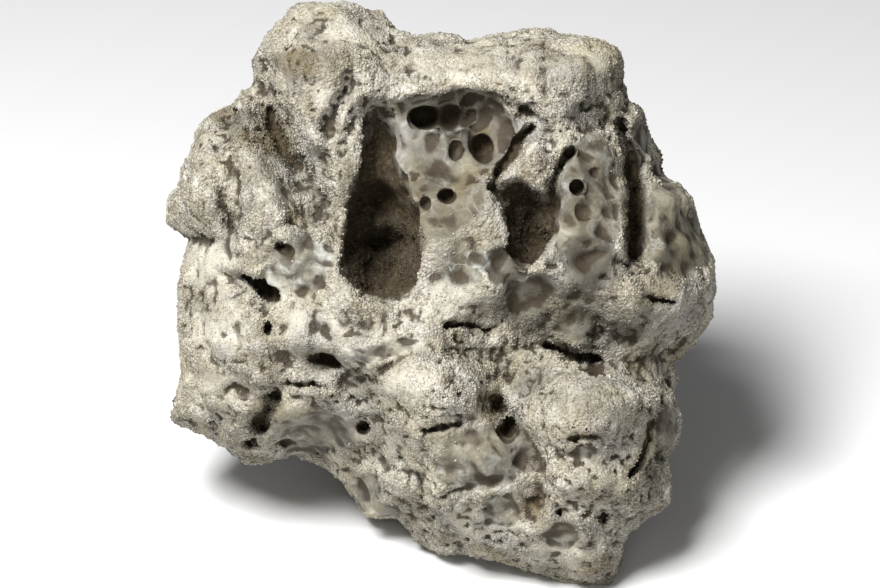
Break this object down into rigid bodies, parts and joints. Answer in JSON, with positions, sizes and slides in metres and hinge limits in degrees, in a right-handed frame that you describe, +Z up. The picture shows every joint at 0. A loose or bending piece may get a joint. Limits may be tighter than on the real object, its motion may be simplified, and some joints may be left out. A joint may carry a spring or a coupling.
{
  "type": "aquascaping rock",
  "caption": "Upright pitted limestone boulder with a deep bored hollow and a gritty crust, to stand in an aquarium or terrarium.",
  "frame": {"origin": "centre of the bounding box in plan, at ground level under the flat spot that the stone stands on", "axes": "+Z up, -Y towards the side with the big hollow, +X to the right when looking at that side"},
  "size_m": [0.1549, 0.133, 0.1527],
  "materials": {
    "stone": "rough, with a gritty crust over smooth grey limestone"
  },
  "bodies": {
    "root": {"rock": "stone"}
  },
  "joints": []
}
